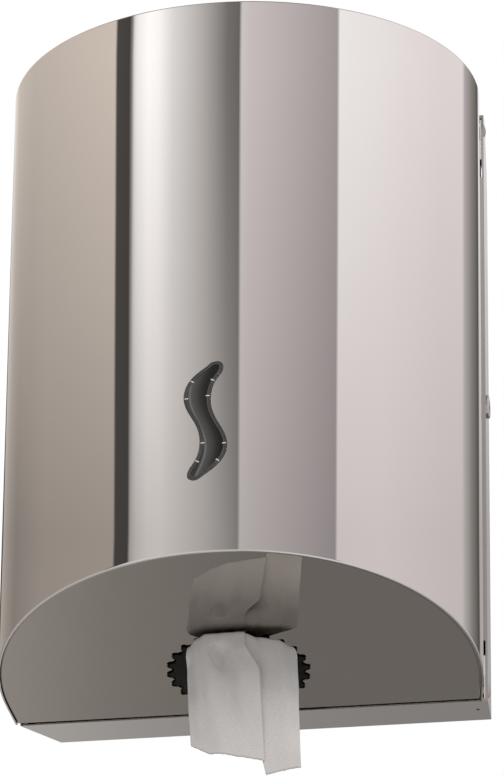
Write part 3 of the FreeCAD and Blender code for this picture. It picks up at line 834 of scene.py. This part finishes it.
def tailOffset(column, past, hidden, opened):    # square to the line, and in x, y and z
    across, depth, bulge, layer = column

    def side(name):
        return between(paperTail["side"][name], across, True)

    def down(name, start=()):
        return between([*start, *paperTail["down"][name]], past, True)

    gap = down("gap", [(hidden, paperTail["neckGap"])])
    pitch, halfDepth = paperTail["neckPleats"]
    off = depth * gap + (1.0 + math.sin(2.0 * math.pi * across / pitch)) * halfDepth * (1.0 - opened)
    pleats = paperTail["pleats"]
    pleated = pleats["depth"] * (1.0 + math.cos(2.0 * math.pi * (across + pleats["shift"]) / pleats["pitch"]))
    pleated *= side("pleated") * down("pleated")
    back = side("back") + (side("backBehind") if layer > 0 else 0.0)
    back *= down("back", [(hidden, 0.0)])
    crease = paperTail["crease"]
    creaseAt = crease["start"] + crease["drift"] * max(0.0, past - crease["below"]) / crease["over"]
    creased = max(0.0, creaseAt - across) * crease["depth"] * down("crease")
    wrinkles = sum(wrinkling(name, across, past, layer) for name in ("broad", "fine"))
    wrinkles *= paperTail["wrinkles"] * down("loose")
    neck = paperTail["neckWidth"]
    x = paperTail["middle"] * opened + across * (neck + (1.0 - neck) * opened) + bulge * gap
    x += paperTail["flare"] * max(0.0, -across) * max(0.0, past)
    y = pleated + back + side("tuck") * down("tuck") + creased + wrinkles
    z = -paperTail["sag"] * back * down("sag")
    if layer == 0:
        front = paperTail["frontLayer"]
        share = (across - front["edge"]) / front["width"]
        x -= front["lean"] * share * down("lean") * opened
        proud = max(0.0, share - front["proudFrom"]) / (1.0 - front["proudFrom"])
        y -= front["proud"] * proud * down("pleated")
    return off, x, y, z


def makePaperTail():
    line, places, heights = tailLine()
    mouth = between(heights, paperTail["mouth"])
    lip = between(heights, paperTail["lip"])
    beforeMouth, beforeLip = paperTail["opens"]
    opening = [(mouth + beforeMouth, 0.0), (lip + beforeLip, 1.0)]
    tornHeight, tornOften = paperTail["tornRough"]
    rows = paperTail["rows"]
    mesh = bmesh.new()
    grid = []
    flat = []
    travelled = 0.0
    before = None
    for column in tailColumns():
        across, layer = column[0], column[3]
        if before is not None:
            travelled += max(abs(across - before), paperTail["foldStep"])
        before = across
        torn = between(paperTail["torn"][layer], across)
        torn += tornHeight * spaceNoise.noise(Vector((across * tornOften, layer * 7.0, 3.1)))
        end = between(heights, -torn)
        verts = []
        for j in range(rows):
            a = end * j / (rows - 1)
            y, z, inY, inZ = lineAt(line, places, a)
            off, moveX, moveY, moveZ = tailOffset(column, a - lip, mouth - lip, between(opening, a, True))
            spot = (moveX, y + inY * off + moveY, z + inZ * off + moveZ)
            verts.append(mesh.verts.new([part * 0.001 for part in spot]))
            flat.append((travelled * 0.001, a * 0.001))
        grid.append(verts)
    mesh.verts.index_update()
    cutUv = mesh.loops.layers.uv.new("cut")
    for first, second in zip(grid, grid[1:]):
        for j in range(rows - 1):
            face = mesh.faces.new((first[j], first[j + 1], second[j + 1], second[j]))
            face.smooth = True
            for loop in face.loops:
                loop[cutUv].uv = flat[loop.vert.index]
    data = bpy.data.meshes.new("paper_tail_sheet")
    mesh.to_mesh(data)
    mesh.free()
    piece = bpy.data.objects.new("paper_tail_sheet", data)
    bpy.context.scene.collection.objects.link(piece)
    data.materials.append(tissueWhite)
    bpy.ops.object.select_all(action="DESELECT")
    bpy.context.view_layer.objects.active = piece
    piece.select_set(True)
    ply = piece.modifiers.new("ply", "SOLIDIFY")
    ply.thickness = paperTail["thickness"]
    ply.offset = 0.0
    bpy.ops.object.modifier_apply(modifier=ply.name)
    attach(piece, "paper")
    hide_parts("paper_tail")


makePaperTail()


# floor

paleFloor = {
    "size": 30.0,
    "z": -2.6,
    "paint": (0.8, 0.8, 0.8, 1.0),
    "glow": 0.35,              # for the camera alone, so that it shows white
}


def makeFloor():
    bpy.ops.mesh.primitive_plane_add(size=paleFloor["size"], location=(0, 0, paleFloor["z"]))
    floor = bpy.context.object
    floor.name = "floor"
    material = bpy.data.materials.new("floorPaint")
    material.use_nodes = True
    tree = material.node_tree
    tree.nodes.clear()
    output = addNode(tree, "ShaderNodeOutputMaterial")
    paint = addNode(tree, "ShaderNodeBsdfDiffuse", None, {"Color": paleFloor["paint"]})
    clear = addNode(tree, "ShaderNodeBsdfTransparent")
    white = addNode(tree, "ShaderNodeEmission", None,
                    {"Color": (1.0, 1.0, 1.0, 1.0), "Strength": paleFloor["glow"]})
    both = addNode(tree, "ShaderNodeAddShader")
    path = addNode(tree, "ShaderNodeLightPath")
    facing = addNode(tree, "ShaderNodeNewGeometry")
    seen = addNode(tree, "ShaderNodeMixShader")
    under = addNode(tree, "ShaderNodeMixShader")
    mirrored = addNode(tree, "ShaderNodeMixShader")
    link(tree, paint, 0, both, 0)
    link(tree, white, 0, both, 1)
    link(tree, path, "Is Camera Ray", seen, 0)
    link(tree, paint, 0, seen, 1)
    link(tree, both, 0, seen, 2)
    link(tree, path, "Is Glossy Ray", mirrored, 0)
    link(tree, seen, 0, mirrored, 1)
    link(tree, clear, 0, mirrored, 2)
    link(tree, facing, "Backfacing", under, 0)
    link(tree, mirrored, 0, under, 1)
    link(tree, clear, 0, under, 2)
    link(tree, under, 0, output, "Surface")
    floor.data.materials.append(material)


makeFloor()
print("floor made")


# studio round the object: what the metal reflects, by compass angle from the front towards +X

studio = {
    "diffuse": (0.20, 0.74),   # from below and from above
    "diffuseEdge": (-0.5, 0.4),    # this and the other edges are heights of a direction, from -1 to 1
    "lowEdge": (-0.25, 0.12),
    "middleEdge": (0.534, 0.584),
    "middleTurn": 2.2,         # degrees by which the middle ring is turned, and how much it is squeezed
    "middleSqueeze": 0.045,
    "overheadEdge": (0.63, 0.72),
    "tints": {"warm": (1.0, 0.89, 0.80), "cool": (1.0, 0.985, 0.99), "rose": (1.0, 0.92, 0.93),
              "plain": (1.0, 0.96, 0.93), "dark": (1.0, 0.92, 0.86)},
    "high": [                  # seen in the upper part of the upright faces
        (-180.0, 0.9, "cool"), (-177.0, 0.9, "cool"), (-176.0, 0.08, "dark"), (-169.0, 0.08, "dark"),
        (-168.2, 0.95, "plain"), (-166.0, 0.95, "plain"), (-150.0, 0.70, "warm"), (-125.0, 0.66, "warm"),
        (-61.2, 0.81, "warm"), (-60.7, 0.09, "dark"), (-52.2, 0.075, "dark"), (-51.6, 0.85, "cool"),
        (-49.0, 1.20, "cool"), (-43.0, 1.42, "cool"), (-37.5, 1.33, "cool"), (-30.0, 0.96, "cool"),
        (-15.0, 0.59, "plain"), (-3.0, 0.23, "plain"), (3.0, 0.18, "plain"), (3.5, 0.82, "plain"),
        (9.0, 0.77, "rose"), (52.4, 0.475, "rose"), (52.9, 1.14, "cool"), (118.0, 0.99, "rose"),
        (141.5, 0.95, "rose"), (145.0, 0.52, "rose"), (156.0, 0.28, "dark"), (172.0, 0.08, "dark"),
        (173.0, 0.92, "cool"), (180.0, 0.92, "cool")],
    "middle": [                # seen in their lower part
        (-180.0, 0.45, "plain"), (-177.0, 0.45, "plain"), (-176.0, 0.06, "dark"), (-169.0, 0.06, "dark"),
        (-168.2, 0.5, "warm"), (-166.0, 0.45, "warm"), (-140.0, 0.29, "warm"), (-110.0, 0.39, "warm"),
        (-61.2, 0.43, "warm"), (-60.7, 0.075, "dark"), (-52.9, 0.07, "dark"), (-52.3, 0.44, "plain"),
        (-49.0, 0.60, "plain"), (-43.0, 0.72, "plain"), (-36.0, 0.74, "plain"), (-30.0, 0.68, "plain"),
        (-13.0, 0.51, "plain"), (-3.0, 0.37, "plain"), (3.0, 0.27, "plain"), (3.5, 0.61, "plain"),
        (9.0, 0.58, "rose"), (52.4, 0.365, "rose"), (52.9, 0.79, "rose"), (78.0, 0.81, "rose"),
        (141.5, 0.69, "rose"), (146.0, 0.50, "plain"), (156.0, 0.27, "dark"), (170.0, 0.08, "dark"),
        (173.0, 0.45, "plain"), (180.0, 0.45, "plain")],
    "low": [                   # seen in the faces that look down
        (-180.0, 0.16, "plain"), (-176.0, 0.31, "plain"), (-174.6, 0.335, "plain"), (-174.0, 0.30, "plain"),
        (-173.4, 0.303, "plain"), (-172.2, 0.356, "plain"), (-171.8, 0.39, "plain"), (-171.5, 0.46, "plain"),
        (-171.1, 0.61, "plain"), (-170.4, 0.71, "plain"), (-168.0, 0.62, "plain"), (-160.0, 0.45, "plain"),
        (-120.0, 0.55, "plain"), (-57.0, 0.60, "plain"), (-50.0, 0.90, "cool"), (0.0, 0.62, "plain"),
        (50.0, 0.85, "cool"), (130.0, 0.50, "plain"), (160.0, 0.20, "plain"), (180.0, 0.16, "plain")],
    "overhead": (0.42, 0.75),  # in front and behind
    "overheadSplit": (-0.1, 0.1),
}

softLamp = {
    "place": (0.9, -3.0, 0.95),
    "aim": (0.0, -0.08, -0.1),
    "size": 1.0,
    "watts": 57.0,
    "colour": (1.0, 0.985, 0.97),
}


def ringRamp(tree, angle, stops):
    ramp = addNode(tree, "ShaderNodeValToRGB")
    ramp.color_ramp.interpolation = "LINEAR"
    points = ramp.color_ramp.elements
    points[0].position = 0.0
    points[1].position = 1.0
    for degrees, level, tint in stops[1:-1]:
        points.new(degrees / 360.0 + 0.5)
    for point, (degrees, level, tint) in zip(points, stops):
        point.color = (*[level * part for part in studio["tints"][tint]], 1.0)
    link(tree, angle, 0, ramp, "Fac")
    return ramp


def mixColours(tree, factor, first, second):
    node = addNode(tree, "ShaderNodeMix", {"data_type": "RGBA"})
    tree.links.new(factor, node.inputs["Factor"])
    tree.links.new(first, node.inputs["A"])
    tree.links.new(second, node.inputs["B"])
    return node.outputs["Result"]


def compassShare(tree, source):
    node = addNode(tree, "ShaderNodeMapRange", None, {"From Min": -math.pi, "From Max": math.pi})
    tree.links.new(source, node.inputs["Value"])
    return node


def reflectedRings(tree, parts):
    x, y = parts.outputs[:2]
    compass = combine(tree, "ARCTAN2", x, combine(tree, "MULTIPLY", y, -1.0))
    lower = spread(tree, parts, "Z", 1.0, 0.0, *studio["middleEdge"]).outputs["Result"]
    turn = combine(tree, "MULTIPLY", lower, math.radians(studio["middleTurn"]))
    squeeze = combine(tree, "SUBTRACT", 1.0, combine(tree, "MULTIPLY", lower, studio["middleSqueeze"]))
    angle = compassShare(tree, combine(tree, "DIVIDE", combine(tree, "SUBTRACT", compass, turn), squeeze))
    high = ringRamp(tree, angle, studio["high"]).outputs["Color"]
    middle = ringRamp(tree, angle, studio["middle"]).outputs["Color"]
    low = ringRamp(tree, compassShare(tree, compass), studio["low"]).outputs["Color"]
    up = spread(tree, parts, "Z", 0.0, 1.0, *studio["lowEdge"]).outputs["Result"]
    return mixColours(tree, up, low, mixColours(tree, lower, high, middle))


def overheadLevel(tree, parts):
    level = spread(tree, parts, "Y", *studio["overhead"], *studio["overheadSplit"])
    overhead = spread(tree, parts, "Z", 0.0, 1.0, *studio["overheadEdge"])
    fade = addNode(tree, "ShaderNodeMix", None, {"A": 1.0})
    link(tree, overhead, "Result", fade, "Factor")
    link(tree, level, "Result", fade, "B")
    return fade.outputs["Result"]


def makeStudio():
    world = bpy.data.worlds.new("studio")
    bpy.context.scene.world = world
    world.use_nodes = True
    tree = world.node_tree
    tree.nodes.clear()
    output = tree.nodes.new("ShaderNodeOutputWorld")
    towards = addNode(tree, "ShaderNodeTexCoord")
    parts = addNode(tree, "ShaderNodeSeparateXYZ")
    link(tree, towards, "Generated", parts, 0)
    reflected = addNode(tree, "ShaderNodeBackground")
    tree.links.new(reflectedRings(tree, parts), reflected.inputs["Color"])
    tree.links.new(overheadLevel(tree, parts), reflected.inputs["Strength"])
    seen = addNode(tree, "ShaderNodeBackground", None, {"Color": (1.0, 1.0, 1.0, 1.0), "Strength": 1.0})
    plain = addNode(tree, "ShaderNodeBackground", None, {"Color": (1.0, 1.0, 1.0, 1.0)})
    soft = spread(tree, parts, "Z", *studio["diffuse"], *studio["diffuseEdge"])
    link(tree, soft, "Result", plain, "Strength")
    path = addNode(tree, "ShaderNodeLightPath")
    glossy = addNode(tree, "ShaderNodeMixShader")
    camera = addNode(tree, "ShaderNodeMixShader")
    link(tree, path, "Is Glossy Ray", glossy, 0)
    link(tree, plain, 0, glossy, 1)
    link(tree, reflected, 0, glossy, 2)
    straight = combine(tree, "MAXIMUM", path.outputs["Is Camera Ray"], path.outputs["Is Transmission Ray"])
    tree.links.new(straight, camera.inputs[0])
    link(tree, glossy, 0, camera, 1)
    link(tree, seen, 0, camera, 2)
    link(tree, camera, 0, output, "Surface")


def makeLamp():
    place = Vector(softLamp["place"])
    data = bpy.data.lights.new("softLamp", "AREA")
    data.shape = "DISK"
    data.size = softLamp["size"]
    data.energy = softLamp["watts"]
    data.color = softLamp["colour"]
    lamp = bpy.data.objects.new("softLamp", data)
    bpy.context.scene.collection.objects.link(lamp)
    lamp.location = place
    lamp.rotation_mode = "QUATERNION"
    lamp.rotation_quaternion = (Vector(softLamp["aim"]) - place).to_track_quat("-Z", "Y")
    lamp.visible_glossy = False


makeStudio()
makeLamp()
bpy.context.scene.view_settings.view_transform = "Standard"
print("studio made")


# camera, below the object and a little to its right

cameraPlace = {
    "azimuth": 7.25,
    "elevation": -33.35,
    "roll": 0.65,
    "distance": 4.0,
    "lens": 369.6,             # for a sensor this wide, both in millimetres
    "sensor": 36.0,
    "seesTo": 100.0,
    "target": (0.0052, -0.060, -0.0098),
}


def makeCamera():
    azimuth = math.radians(cameraPlace["azimuth"])
    elevation = math.radians(cameraPlace["elevation"])
    away = Vector((math.sin(azimuth) * math.cos(elevation), -math.cos(azimuth) * math.cos(elevation),
                   math.sin(elevation)))
    data = bpy.data.cameras.new("camera")
    data.sensor_width = cameraPlace["sensor"]
    data.lens = cameraPlace["lens"]
    data.clip_end = cameraPlace["seesTo"]
    camera = bpy.data.objects.new("camera", data)
    bpy.context.scene.collection.objects.link(camera)
    camera.location = Vector(cameraPlace["target"]) + away * cameraPlace["distance"]
    turn = (-away).to_track_quat("-Z", "Y").to_matrix()
    roll = math.radians(cameraPlace["roll"])
    right = turn.col[0] * math.cos(roll) + turn.col[1] * math.sin(roll)
    upward = turn.col[1] * math.cos(roll) - turn.col[0] * math.sin(roll)
    turn.col[0] = right
    turn.col[1] = upward
    camera.rotation_mode = "QUATERNION"
    camera.rotation_quaternion = turn.to_quaternion()
    bpy.context.scene.camera = camera


makeCamera()
